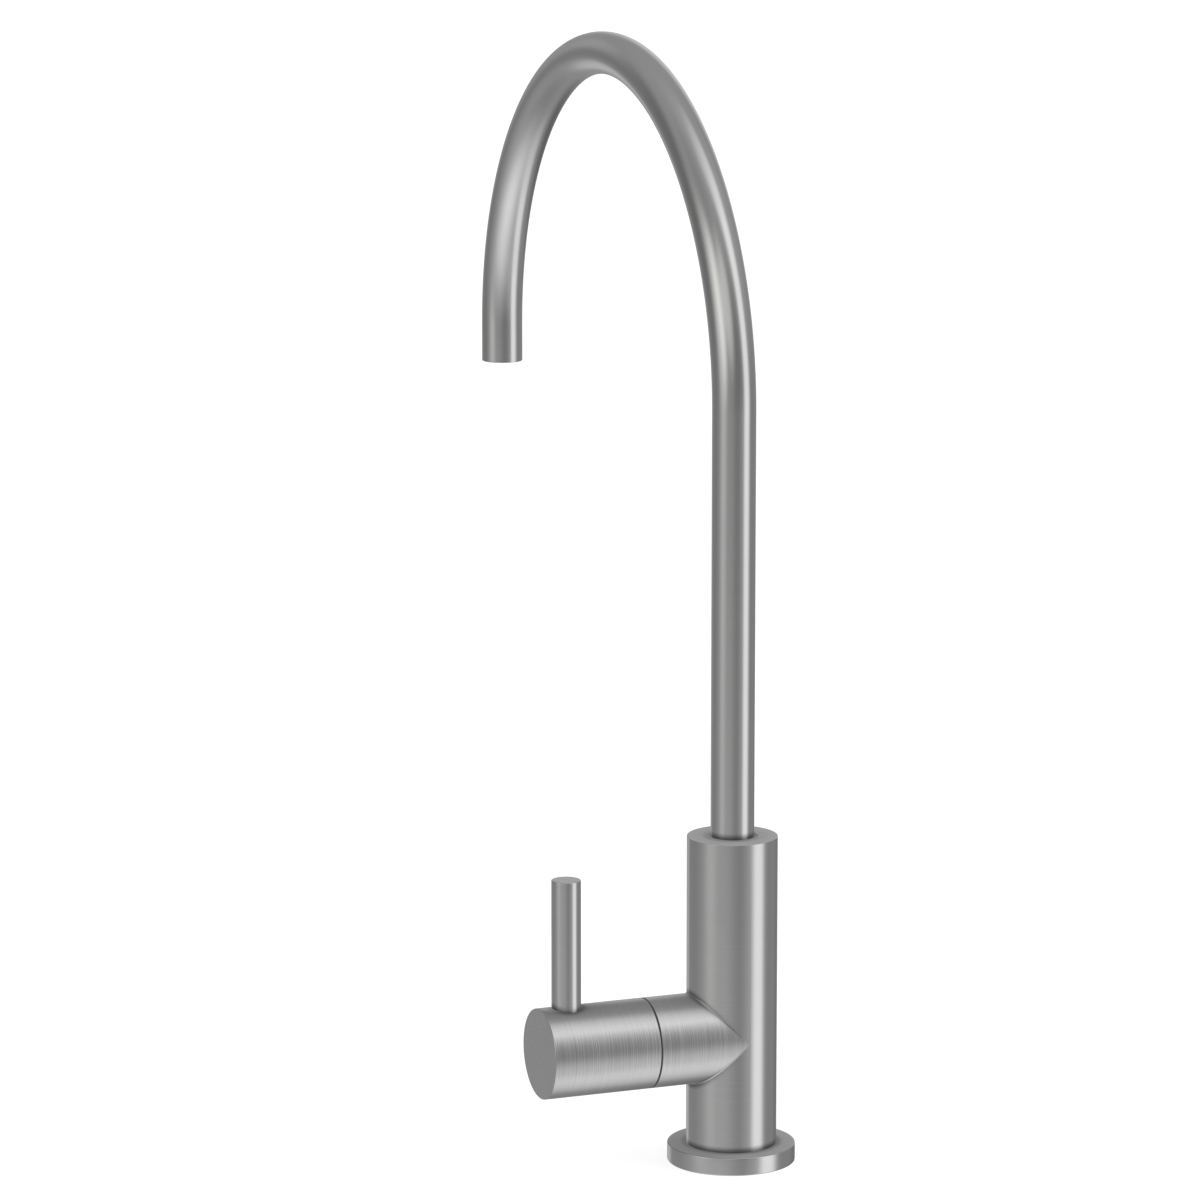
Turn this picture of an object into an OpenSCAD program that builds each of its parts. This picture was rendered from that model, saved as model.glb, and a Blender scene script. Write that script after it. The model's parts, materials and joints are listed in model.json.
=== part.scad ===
// Drinking water filter tap: a turned column with a side branch, a swivelling gooseneck
// spout and a pin lever that works a quarter-turn ceramic valve.
// Origin: centre of the base flange's underside, on the deck. +Z is up, the spout reaches
// towards -Y and the handle towards +X. All sizes are in millimetres.

/* [Column and base flange] */
// Diameter of the column, of its side branch and of the handle hub
column_d = 25; // [24:0.1:30]
// Height of the column above the base flange
column_h = 86.9; // [84:0.1:120]
// Diameter of the base flange
flange_d = 35.4; // [34:0.1:45]
// Thickness of the base flange
flange_t = 5; // [4:0.1:8]
// Chamfer on the outer edges that show
edge_chamfer = 0.4; // [0.1:0.05:0.6]

/* [Side branch and handle] */
// Height of the branch's axis above the deck
branch_z = 35.6; // [33:0.1:42]
// Distance from the column's axis to the end face of the branch
branch_reach = 25.45; // [24:0.05:32]
// Shadow gap between the branch and the handle hub
hub_gap = 0.45; // [0.3:0.05:0.8]
// Length of the handle hub
hub_l = 30.9; // [29:0.1:40]
// Diameter of the lever pin
lever_d = 8.1; // [6:0.1:10]
// Length of the lever pin above the hub's crest
lever_l = 35.7; // [25:0.1:60]
// Distance from the hub's outer face to the lever's axis
lever_inset = 7.8; // [6:0.1:9]

/* [Spout] */
// Outside diameter of the spout tube
spout_d = 12; // [10:0.1:15]
// Wall of the spout tube
spout_wall = 1; // [0.8:0.1:1.5]
// Radius of the bend's centreline, half of the spout's reach
bend_r = 88.4; // [60:0.1:110]
// Height of the bend's centre above the top of the column
spout_rise = 117.65; // [60:0.05:160]
// Straight drop from the end of the bend to the outlet
outlet_drop = 11.4; // [9:0.1:40]

/* [Deck fixing] */
// Thickness of the deck that the clamp set is set to
deck_t = 20; // [2:0.5:28]
// Outside diameter of the shank's pipe thread
shank_d = 16.66; // [15:0.01:17]
// Water bore through the shank
shank_bore = 8; // [6:0.1:9]
// Length of the shank's thread below the deck
shank_l = 42; // [40:0.5:70]
// Outside diameter of the inlet tail's pipe thread
tail_d = 13.16; // [12:0.01:14]
// Length of the inlet tail below the shank's thread
tail_l = 14; // [10:0.5:20]
// Width across the flats of the clamp nut
nut_af = 24; // [22:0.5:28]
// Height of the clamp nut
nut_h = 8; // [6:0.5:10]
// Diameter of the two washers under the deck
washer_d = 32; // [28:0.5:40]
// Thickness of the rubber washer under the deck
rubber_washer_t = 2; // [1:0.1:3]
// Thickness of the steel washer under the deck
steel_washer_t = 1.5; // [1:0.1:2.5]

/* [Valve cartridge] */
// Diameter of the bore that takes the cartridge
cartridge_d = 18; // [17:0.1:19]
// Thickness of the seal at the valve seat
seat_seal_t = 2; // [1.5:0.1:2.5]
// Diameter of the two ceramic discs
disc_d = 12.5; // [12:0.1:13]
// Thickness of each ceramic disc
disc_t = 3; // [2.5:0.1:3.5]
// Diameter of the valve spindle
spindle_d = 7.9; // [7:0.1:8.5]
// Width across the flats of the cartridge's hexagon
cartridge_af = 15; // [14:0.1:15.4]
// Number of splines on the spindle
spline_n = 20; // [16:2:24]

/* [Clearances] */
// Radial gap between fixed pieces that fit together
fit_gap = 0.05; // [0.03:0.01:0.1]
// Radial gap between pieces that turn in each other
run_gap = 0.08; // [0.05:0.01:0.1]

/* [Hidden] */
$fn = 96;
eps = 1; // overshoot of a cut past the face that it opens

STEEL = [0.60, 0.60, 0.59];
BRASS = [0.78, 0.64, 0.36];
RUBBER = [0.08, 0.08, 0.08];
BLACK = [0.13, 0.13, 0.13];
WHITE = [0.90, 0.90, 0.88];

// Column, foot and base flange
column_r = column_d / 2;
column_top = flange_t + column_h;
shoulder = 2; // width of the column's seat on the flange
foot_r = column_r - shoulder;
foot_z = 1.5; // the foot stops short of the deck
foot_h = flange_t - foot_z;
flange_r = flange_d / 2;
gasket_h = 1.8;
gasket_w = 2.4;
gasket_margin = 1.6; // land outside the gasket
gasket_out = flange_r - gasket_margin;
gasket_in = gasket_out - gasket_w;

// Inlet: threaded port, seal and ducts
port_depth = 12;
port_top = foot_z + port_depth;
shank_r = shank_d / 2;
shank_seal_t = 1.5;
shank_top = port_top - shank_seal_t;
inlet_offset = 3.2; // the riser duct stands behind the valve seat
inlet_duct_r = 2.2;
seat_duct_r = 3;

// Deck fixing, stacked downwards from the deck's underside
rubber_washer_z = -deck_t - rubber_washer_t;
steel_washer_z = rubber_washer_z - steel_washer_t;
nut_z = steel_washer_z - nut_h;
washer_gap = 0.3; // radial gap between the washers and the shank
washer_hole_r = shank_r + washer_gap;

// Swivel socket in the column's top, from the mouth down
spout_r = spout_d / 2;
gland_wall = 2;
socket_r = spout_r + gland_wall;
socket_depth = 30;
socket_floor = column_top - socket_depth;
gland_h = 5;
bush_h = 8;
thrust_t = 1.2;
face_gap = 0.1; // axial gap between faces that slide on each other
stem_gap = 0.25; // radial gap between the stem and its socket
stem_r = socket_r - stem_gap;
stem_top = column_top - gland_h - bush_h - face_gap;
stem_z = socket_floor + thrust_t + face_gap;
tube_seat = 5; // length of tube brazed into the stem
tube_z = stem_top - tube_seat;
stem_ring_d = 1.6; // cord of the stem's sealing rings
stem_ring_first = 2.8; // from the stem's foot to the first ring
stem_ring_pitch = 4;
stem_ring_z = [for (i = [0, 1]) stem_z + stem_ring_first + i * stem_ring_pitch];
outlet_duct_r = 2.4;
outlet_duct_x = 2.4;
thrust_hole_r = outlet_duct_x + outlet_duct_r + 0.2;

// Gooseneck
bend_z = column_top + spout_rise;
outlet_z = bend_z - outlet_drop;
outlet_y = -2 * bend_r;
straightener_h = 6;
straightener_recess = 1.5;
straightener_hole_r = 0.7;
straightener_rim = 0.4; // least wall outside the outer row of holes
straightener_rows = 2; // rings of holes round the middle one

// Valve cartridge, stacked along +X from the valve seat
cartridge_r = cartridge_d / 2;
seat_x = 1.5;
disc_r = disc_d / 2;
disc_gap = 0.03; // lapped faces of the ceramic discs
fixed_disc_x = seat_x + seat_seal_t;
moving_disc_x = fixed_disc_x + disc_t + disc_gap;
drive_x = moving_disc_x + disc_t;
drive_l = 3.8;
drive_w = 6.5;
drive_gap = 0.2; // end float of the drive head
neck_x = drive_x + drive_l + drive_gap;
seat_gap = 0.4; // the housing stops short of the seat, so that only the seal bears
housing_x = seat_x + seat_gap;
outlet_ring_w = 1; // width of the water space round the housing's sleeve
housing_front_r = cartridge_r - outlet_ring_w;
window_r = 2;
nose_sink = 4.45; // length of the hexagon inside the branch
nose_out = 2.1; // length of the hexagon inside the hub
nose_x = branch_reach - nose_sink;
nose_end = branch_reach + hub_gap + nose_out;
nose_r = cartridge_r - 0.2; // the hexagon's corners clear the bore's thread
housing_ring_d = 1.5;
housing_ring_inset = 1.6; // from the neck's shoulder to the housing's sealing ring
housing_ring_x = neck_x + housing_ring_inset;
spindle_r = spindle_d / 2;
spindle_ring_d = 1.1;
spindle_ring_first = 4; // from the neck's shoulder to the spindle's first ring
spindle_ring_pitch = 3;
spindle_ring_x = [for (i = [0, 1]) neck_x + spindle_ring_first + i * spindle_ring_pitch];
clip_t = 0.8;
clip_x = nose_end + face_gap;
clip_groove = 0.8; // depth of the clip's groove in the spindle
clip_rim = 2; // height of the clip outside the spindle
clip_root_r = spindle_r - clip_groove;
clip_r = spindle_r + clip_rim;
clip_mouth = 4.4; // the clip's opening, which snaps over the groove
tongue = [2.8, 8.4, 1.1]; // drive tongue across the moving disc: width, length, depth
port_r = 1.9; // water ports through the ceramic discs
port_offset = 3.25;
seal_hole_r = seat_duct_r + 0.5;

// Handle hub and lever
hub_r = column_r;
hub_x = branch_reach + hub_gap;
hub_end = hub_x + hub_l;
hub_wall = 2.5;
glide_w = 1.6;
glide_setback = 0.5;
clip_room = 0.8; // from the clip to the floor of the hub's hollow
spline_x = clip_x + clip_t + clip_room;
spline_l = 11;
spline_step = 0.15; // the splines lie within the shaft's own diameter
spline_h = 0.5;
spline_tip_r = spindle_r - spline_step;
spline_root_r = spline_tip_r - spline_h;
spline_flanks = [[0, 0.05], [1, 0.3], [1, 0.7], [0, 0.95]]; // one tooth: height and place in its pitch
lever_x = hub_end - lever_inset;
lever_r = lever_d / 2;
hub_crest = branch_z + hub_r;
lever_seat = 0.5; // depth of the lever's seat below the hub's lowest edge round it
lever_sink = hub_r - sqrt(hub_r * hub_r - lever_r * lever_r) + lever_seat;
lever_z = hub_crest - lever_sink;
lever_top = hub_crest + lever_l;
stud_r = 2.45; // threaded end of the lever
stud_l = 8;
grub_r = 1.95;
grub_l = 6;
grub_x = spline_x + spline_l / 2;
grub_key_af = 2;

// Puts a piece that is modelled along +Z on the branch's axis, with its foot at x
module along_branch(x) {
    translate([x, 0, branch_z]) rotate([0, 90, 0]) children();
}

// A round bar with a chamfer at either end
module bar(r, h, foot = 0, top = 0) {
    rotate_extrude()
        polygon([[0, 0], [r - foot, 0], [r, foot], [r, h - top], [r - top, h], [0, h]]);
}

// A plain ring
module ring(r_out, r_in, h) {
    difference() {
        cylinder(r = r_out, h = h);
        translate([0, 0, -eps]) cylinder(r = r_in, h = h + 2 * eps);
    }
}

// A round sealing ring: cord d, with its outside at r_out
module o_ring(r_out, d) {
    rotate_extrude() translate([r_out - d / 2, 0]) circle(d = d, $fn = 48);
}

// A hexagonal prism, sized across its flats
module hexagon(af, h) {
    cylinder(d = af / cos(30), h = h, $fn = 6);
}

// Straight-sided splines round a shaft
module splines(root_r, tip_r, n, h) {
    pitch = 360 / n;
    linear_extrude(height = h)
        polygon([for (i = [0 : n - 1], f = spline_flanks)
            (root_r + f[0] * (tip_r - root_r)) * [cos((i + f[1]) * pitch), sin((i + f[1]) * pitch)]]);
}

// Column with its side branch, foot, swivel socket and water ducts
module column() {
    color(STEEL) difference() {
        union() {
            translate([0, 0, flange_t]) bar(column_r, column_h, 0, edge_chamfer);
            translate([0, 0, foot_z]) cylinder(r = foot_r, h = foot_h + eps);
            along_branch(0) bar(column_r, branch_reach, 0, edge_chamfer / 2);
        }
        translate([0, 0, foot_z - eps]) cylinder(r = shank_r + fit_gap, h = port_depth + eps);
        translate([-inlet_offset, 0, port_top - eps])
            cylinder(r = inlet_duct_r, h = branch_z - port_top + eps);
        along_branch(-inlet_offset) cylinder(r = seat_duct_r, h = inlet_offset + seat_x + eps);
        along_branch(seat_x) cylinder(r = cartridge_r + fit_gap, h = branch_reach - seat_x + eps);
        translate([outlet_duct_x, 0, branch_z + housing_front_r - eps])
            cylinder(r = outlet_duct_r, h = socket_floor - branch_z - housing_front_r + 2 * eps);
        translate([0, 0, socket_floor]) cylinder(r = socket_r, h = socket_depth + eps);
    }
}

// Base flange: the ring that the column stands on, grooved below for its gasket
module base_flange() {
    color(STEEL) difference() {
        bar(flange_r, flange_t, 0, edge_chamfer);
        translate([0, 0, -eps]) cylinder(r = foot_r + fit_gap, h = flange_t + 2 * eps);
        translate([0, 0, -eps]) ring(gasket_out, gasket_in, gasket_h + eps);
    }
}

module flange_gasket() {
    color(RUBBER) ring(gasket_out - fit_gap, gasket_in + fit_gap, gasket_h);
}

// Hollow shank: screws up into the column and passes the deck; its tail takes the supply hose
module threaded_shank() {
    whole_l = tail_l + shank_l + shank_top;
    color(BRASS) difference() {
        union() {
            translate([0, 0, -shank_l]) bar(shank_r, shank_l + shank_top, edge_chamfer, edge_chamfer);
            translate([0, 0, -shank_l - tail_l]) bar(tail_d / 2, tail_l + eps, edge_chamfer, 0);
        }
        translate([0, 0, -shank_l - tail_l - eps]) cylinder(d = shank_bore, h = whole_l + 2 * eps);
    }
}

module shank_seal() {
    color(RUBBER) translate([0, 0, shank_top]) ring(shank_r, shank_bore / 2, shank_seal_t);
}

module rubber_deck_washer() {
    color(RUBBER) translate([0, 0, rubber_washer_z]) ring(washer_d / 2, washer_hole_r, rubber_washer_t);
}

module steel_clamp_washer() {
    color(STEEL) translate([0, 0, steel_washer_z]) ring(washer_d / 2, washer_hole_r, steel_washer_t);
}

// Clamp nut: a hexagon with its corners turned off at both faces
module clamp_nut() {
    corner_r = nut_af / 2 / cos(30);
    color(BRASS) translate([0, 0, nut_z]) difference() {
        intersection() {
            hexagon(nut_af, nut_h);
            bar(corner_r, nut_h, corner_r - nut_af / 2, corner_r - nut_af / 2);
        }
        translate([0, 0, -eps]) cylinder(r = shank_r + fit_gap, h = nut_h + 2 * eps);
    }
}

// Gland ring: closes the swivel socket flush with the top of the column
module spout_gland_ring() {
    color(STEEL) translate([0, 0, column_top - gland_h])
        ring(socket_r - fit_gap, spout_r + 2 * run_gap, gland_h);
}

module spout_bush() {
    color(WHITE) translate([0, 0, column_top - gland_h - bush_h])
        ring(socket_r - fit_gap, spout_r + run_gap, bush_h);
}

module spout_thrust_washer() {
    color(WHITE) translate([0, 0, socket_floor])
        ring(socket_r - fit_gap, thrust_hole_r, thrust_t);
}

// One length of the gooseneck's path as a solid rod of radius r: riser, half turn and drop
module gooseneck(r, overshoot) {
    translate([0, 0, tube_z - overshoot]) cylinder(r = r, h = bend_z - tube_z + overshoot);
    translate([0, -bend_r, bend_z]) rotate([90, 0, 90])
        rotate_extrude(angle = 180) translate([bend_r, 0]) circle(r = r);
    translate([0, outlet_y, outlet_z - overshoot]) cylinder(r = r, h = outlet_drop + overshoot);
}

module spout_tube() {
    color(STEEL) difference() {
        gooseneck(spout_r, 0);
        gooseneck(spout_r - spout_wall, eps);
    }
}

// Swivel stem: brazed on the tube's foot, sealed in the socket by two rings
module spout_stem() {
    color(BRASS) difference() {
        translate([0, 0, stem_z]) cylinder(r = stem_r, h = stem_top - stem_z);
        translate([0, 0, stem_z - eps]) cylinder(r = spout_r - spout_wall, h = stem_top - stem_z + 2 * eps);
        translate([0, 0, tube_z]) cylinder(r = spout_r + fit_gap, h = tube_seat + eps);
        for (z = stem_ring_z)
            translate([0, 0, z - stem_ring_d / 2 - fit_gap])
                ring(stem_r + eps, socket_r - 2 * fit_gap - stem_ring_d, stem_ring_d + 2 * fit_gap);
    }
}

module stem_o_rings() {
    color(RUBBER) for (z = stem_ring_z) translate([0, 0, z]) o_ring(socket_r - fit_gap, stem_ring_d);
}

// Flow straightener: a drilled plug just inside the outlet
module flow_straightener() {
    r = spout_r - spout_wall - fit_gap;
    pitch = (r - straightener_rim - straightener_hole_r) / straightener_rows;
    color(WHITE) translate([0, outlet_y, outlet_z + straightener_recess]) difference() {
        cylinder(r = r, h = straightener_h);
        for (row = [0 : straightener_rows], i = [0 : max(1, 6 * row) - 1])
            rotate([0, 0, i * 60 / max(1, row)]) translate([row * pitch, 0, -eps])
                cylinder(r = straightener_hole_r, h = straightener_h + 2 * eps);
    }
}

// Cartridge housing: front sleeve with outlet windows, threaded middle and hexagon nose
module cartridge_housing() {
    color(BRASS) difference() {
        union() {
            along_branch(housing_x) cylinder(r = housing_front_r, h = neck_x - housing_x + eps);
            along_branch(neck_x) cylinder(r = cartridge_r, h = nose_x - neck_x);
            along_branch(nose_x) intersection() {
                hexagon(cartridge_af, nose_end - nose_x);
                cylinder(r = nose_r, h = nose_end - nose_x);
            }
        }
        along_branch(housing_x - eps) cylinder(r = disc_r + fit_gap, h = neck_x - housing_x + eps);
        along_branch(neck_x - eps) cylinder(r = spindle_r + run_gap, h = nose_end - neck_x + 2 * eps);
        for (a = [0, 90])
            along_branch(drive_x + drive_l / 2) rotate([0, 0, a]) rotate([90, 0, 0])
                cylinder(r = window_r, h = 2 * cartridge_d, center = true);
        along_branch(housing_ring_x - housing_ring_d / 2 - fit_gap)
            ring(cartridge_r + eps, cartridge_r - fit_gap - housing_ring_d, housing_ring_d + 2 * fit_gap);
    }
}

module housing_o_ring() {
    color(RUBBER) along_branch(housing_ring_x) o_ring(cartridge_r, housing_ring_d);
}

module seat_seal() {
    color(RUBBER) along_branch(seat_x) ring(disc_r, seal_hole_r, seat_seal_t);
}

// Ceramic disc with a pair of ports, turned to the angle of its openings
module ceramic_disc(port_angle) {
    linear_extrude(height = disc_t) difference() {
        circle(r = disc_r);
        for (a = [0, 180]) rotate(port_angle + a) translate([port_offset, 0]) circle(r = port_r);
    }
}

module fixed_ceramic_disc() {
    color(WHITE) along_branch(fixed_disc_x) ceramic_disc(0);
}

// The moving disc has a slot across its outer face for the spindle's tongue
module moving_ceramic_disc() {
    color(WHITE) along_branch(moving_disc_x) difference() {
        ceramic_disc(90);
        translate([-tongue[1] / 2 - fit_gap, -tongue[0] / 2 - fit_gap, disc_t - tongue[2] - fit_gap])
            cube([tongue[1] + 2 * fit_gap, tongue[0] + 2 * fit_gap, tongue[2] + fit_gap + eps]);
    }
}

// Valve spindle: drive head with its tongue, grooved shaft and splined end
module valve_spindle() {
    color(BRASS) difference() {
        union() {
            along_branch(drive_x - tongue[2])
                translate([-tongue[1] / 2, -tongue[0] / 2, 0]) cube([tongue[1], tongue[0], tongue[2] + eps]);
            along_branch(drive_x) intersection() {
                cylinder(r = disc_r - run_gap, h = drive_l);
                translate([-disc_d, -drive_w / 2, 0]) cube([2 * disc_d, drive_w, drive_l]);
            }
            along_branch(drive_x + drive_l - eps)
                cylinder(r = spindle_r, h = spline_x - drive_x - drive_l + eps);
            along_branch(spline_x - eps) splines(spline_root_r, spline_tip_r, spline_n, spline_l + eps);
        }
        for (x = spindle_ring_x)
            along_branch(x - spindle_ring_d / 2 - fit_gap)
                ring(spindle_r + eps, spindle_r - spindle_ring_d, spindle_ring_d + 2 * fit_gap);
        along_branch(clip_x - fit_gap) ring(spindle_r + eps, clip_root_r, clip_t + 2 * fit_gap);
    }
}

module spindle_o_rings() {
    color(RUBBER) for (x = spindle_ring_x) along_branch(x) o_ring(spindle_r + run_gap / 2, spindle_ring_d);
}

// Snap clip: an open ring that keeps the spindle in its housing
module spindle_clip() {
    color(STEEL) along_branch(clip_x) difference() {
        ring(clip_r, clip_root_r + fit_gap, clip_t);
        translate([0, -clip_mouth / 2, -eps]) cube([clip_r + eps, clip_mouth, clip_t + 2 * eps]);
    }
}

// Thin dark washer that the hub slides on, set back in the shadow gap
module handle_glide_ring() {
    glide_r = column_r - glide_setback;
    color(BLACK) along_branch(branch_reach) ring(glide_r, glide_r - glide_w, hub_gap - face_gap);
}

// Handle hub: a turned bar, hollow over the cartridge's nose and splined on the spindle
module handle_hub() {
    color(STEEL) difference() {
        along_branch(hub_x) bar(hub_r, hub_l, edge_chamfer / 2, edge_chamfer);
        along_branch(hub_x - eps) cylinder(r = hub_r - hub_wall, h = spline_x - hub_x + eps);
        along_branch(spline_x - eps)
            splines(spline_root_r + fit_gap, spline_tip_r + fit_gap, spline_n, spline_l + 2 * eps);
        translate([lever_x, 0, lever_z]) cylinder(r = lever_r + fit_gap, h = hub_r);
        translate([lever_x, 0, lever_z - stud_l - eps / 2]) cylinder(r = stud_r + fit_gap, h = stud_l + eps);
        translate([grub_x, 0, branch_z - hub_r - eps])
            cylinder(r = grub_r + fit_gap, h = hub_r + eps - spline_root_r / 2);
    }
}

// Lever: a plain bar with a threaded end
module lever_pin() {
    color(STEEL) {
        translate([lever_x, 0, lever_z]) bar(lever_r, lever_top - lever_z, 0, edge_chamfer);
        translate([lever_x, 0, lever_z - stud_l]) cylinder(r = stud_r, h = stud_l + eps);
    }
}

// Grub screw under the hub: pins it on the spindle
module hub_grub_screw() {
    top = branch_z - spline_tip_r - fit_gap;
    color(STEEL) translate([grub_x, 0, top - grub_l]) difference() {
        cylinder(r = grub_r, h = grub_l);
        translate([0, 0, -eps]) hexagon(grub_key_af, grub_l / 2 + eps);
    }
}

column();
base_flange();
flange_gasket();
threaded_shank();
shank_seal();
rubber_deck_washer();
steel_clamp_washer();
clamp_nut();
spout_gland_ring();
spout_bush();
spout_thrust_washer();
spout_tube();
spout_stem();
stem_o_rings();
flow_straightener();
cartridge_housing();
housing_o_ring();
seat_seal();
fixed_ceramic_disc();
moving_ceramic_disc();
valve_spindle();
spindle_o_rings();
spindle_clip();
handle_glide_ring();
handle_hub();
lever_pin();
hub_grub_screw();
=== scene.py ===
import json
import math

import bmesh
import bpy
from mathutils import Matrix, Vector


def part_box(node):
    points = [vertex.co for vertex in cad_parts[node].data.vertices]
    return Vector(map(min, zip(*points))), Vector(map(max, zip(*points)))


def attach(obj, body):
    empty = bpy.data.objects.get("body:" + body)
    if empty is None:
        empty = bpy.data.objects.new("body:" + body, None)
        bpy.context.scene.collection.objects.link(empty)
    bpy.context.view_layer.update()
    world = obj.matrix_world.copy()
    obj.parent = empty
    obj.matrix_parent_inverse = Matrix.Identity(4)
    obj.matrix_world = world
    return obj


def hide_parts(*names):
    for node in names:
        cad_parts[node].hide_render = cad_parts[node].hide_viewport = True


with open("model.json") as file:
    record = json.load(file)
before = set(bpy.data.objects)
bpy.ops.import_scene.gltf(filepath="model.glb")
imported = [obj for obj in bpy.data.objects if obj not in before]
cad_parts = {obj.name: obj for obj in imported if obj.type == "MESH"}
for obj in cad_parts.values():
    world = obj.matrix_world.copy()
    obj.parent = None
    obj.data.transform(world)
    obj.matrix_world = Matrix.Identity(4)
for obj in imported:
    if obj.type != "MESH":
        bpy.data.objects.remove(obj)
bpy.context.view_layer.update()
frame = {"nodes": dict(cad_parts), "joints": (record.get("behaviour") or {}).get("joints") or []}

# Base flange: a turned stainless ring that the column stands on. Its bore takes the column's foot,
# its underside is grooved for a gasket, and it is brushed on the lathe with the edges just broken.
MM = 0.001
SIDES = 192


def turned(name, outline, hollow, sides=SIDES):
    """A lathe-turned piece about Z: a circle extruded, lifted and scaled along (radius, height) points.

    A hollow outline runs all round its section and closes on itself; a solid one gets a face at each end.
    """
    bpy.ops.object.select_all(action="DESELECT")
    radius, height = outline[0]
    bpy.ops.mesh.primitive_circle_add(vertices=sides, radius=radius, location=(0, 0, 0))
    piece = bpy.context.object
    piece.name = name
    bpy.ops.object.mode_set(mode="EDIT")
    bpy.ops.mesh.select_mode(type="EDGE")
    bpy.ops.mesh.select_all(action="SELECT")
    bpy.ops.transform.translate(value=(0, 0, height))
    for next_radius, next_height in outline[1:]:
        lift = (0, 0, next_height - height)
        bpy.ops.mesh.extrude_edges_move(TRANSFORM_OT_translate={"value": lift})
        share = next_radius / radius
        bpy.ops.transform.resize(value=(share, share, 1), center_override=(0, 0, next_height))
        radius = next_radius
        height = next_height
    bpy.ops.mesh.select_all(action="DESELECT")
    bpy.ops.mesh.select_non_manifold()
    if hollow:
        bpy.ops.mesh.bridge_edge_loops()
    else:
        bpy.ops.mesh.fill_holes(sides=0)
    bpy.ops.mesh.select_all(action="SELECT")
    bpy.ops.mesh.normals_make_consistent(inside=False)
    bpy.ops.object.mode_set(mode="OBJECT")
    return piece


def select_only(piece):
    """Makes one piece the active object and the only one selected."""
    bpy.ops.object.select_all(action="DESELECT")
    bpy.context.view_layer.objects.active = piece
    piece.select_set(True)


def apply_modifier(piece, kind, **settings):
    """Adds a modifier of that kind to the piece and applies it."""
    select_only(piece)
    made = piece.modifiers.new(kind.lower(), kind)
    for setting, value in settings.items():
        setattr(made, setting, value)
    bpy.ops.object.modifier_apply(modifier=made.name)


SHARP = math.radians(35)


def break_edges(piece, width):
    """Rounds every sharp edge by that width, then smooths the shading so that flat faces stay flat."""
    apply_modifier(
        piece, "BEVEL", width=width, segments=3, limit_method="ANGLE", angle_limit=SHARP
    )
    smooth(piece)


def smooth(piece):
    """Smooth shading in which the larger faces set the normals."""
    select_only(piece)
    bpy.ops.object.shade_smooth_by_angle(angle=SHARP)
    apply_modifier(piece, "WEIGHTED_NORMAL", mode="FACE_AREA", weight=50, keep_sharp=True)


class Wire:
    """A socket of a node tree: Python's arithmetic on it adds Math nodes, and node() adds any other."""

    def __init__(self, tree, socket=None):
        self.tree = tree
        self.socket = socket

    def node(self, kind, settings=None, values=None, output=0):
        """Adds a node, sets its settings, then gives its sockets their values or links."""
        made = self.tree.nodes.new("ShaderNode" + kind)
        for name, value in (settings or {}).items():
            setattr(made, name, value)
        for name, value in (values or {}).items():
            if isinstance(value, Wire):
                self.tree.links.new(value.socket, made.inputs[name])
            else:
                made.inputs[name].default_value = value
        return Wire(self.tree, made.outputs[output] if made.outputs else None)

    def math(self, operation, *others):
        """A Math node on this value and up to two more."""
        return self.node("Math", {"operation": operation}, dict(enumerate((self, *others))))

    def mix(self, first, second):
        """A colour that runs from the first to the second as this value goes from 0 to 1."""
        return self.node("Mix", {"data_type": "RGBA"}, {0: self, 6: first, 7: second}, output=2)

    def split(self):
        """The three parts of a vector."""
        return [self.node("SeparateXYZ", None, {0: self}, output=axis) for axis in "XYZ"]

    def noise(self, x, y, z, detail):
        """Noise from 0 to 1 over three coordinates."""
        place = self.node("CombineXYZ", None, {0: x, 1: y, 2: z})
        values = {"Vector": place, "Scale": 1.0, "Detail": detail}
        return self.node("TexNoise", None, values)

    def __add__(self, other):
        return self.math("ADD", other)

    def __sub__(self, other):
        return self.math("SUBTRACT", other)

    def __rsub__(self, other):
        return self.math("MULTIPLY_ADD", -1.0, other)

    def __mul__(self, other):
        return self.math("MULTIPLY", other)

    def __truediv__(self, other):
        return self.math("DIVIDE", other)

    def __gt__(self, other):
        return self.math("GREATER_THAN", other)

    __radd__ = __add__
    __rmul__ = __mul__


def new_material(name):
    """An empty node material, with a wire to build on and the object's own x, y and z."""
    material = bpy.data.materials.new(name)
    material.use_nodes = True
    material.node_tree.nodes.clear()
    start = Wire(material.node_tree)
    return material, start, start.node("TexCoord", output="Object").split()


def surface(start, **values):
    """Ends a material in a Principled shader with these socket values."""
    named = {key.replace("_", " ").title(): value for key, value in values.items()}
    shader = start.node("BsdfPrincipled", None, named)
    start.node("OutputMaterial", None, {"Surface": shader})


def from_axis(first, second):
    """Distance from an axis, given the two coordinates square to it."""
    return (first * first + second * second).math("SQRT")


def ramp(value, low, high):
    """Runs from 0 to 1 as the value goes from low to high."""
    return ((value - low) / (high - low)).math("MAXIMUM", 0.0).math("MINIMUM", 1.0)


STEEL_DARK = (0.55, 0.55, 0.55, 1)
STEEL_LIGHT = (0.64, 0.64, 0.635, 1)


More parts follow.
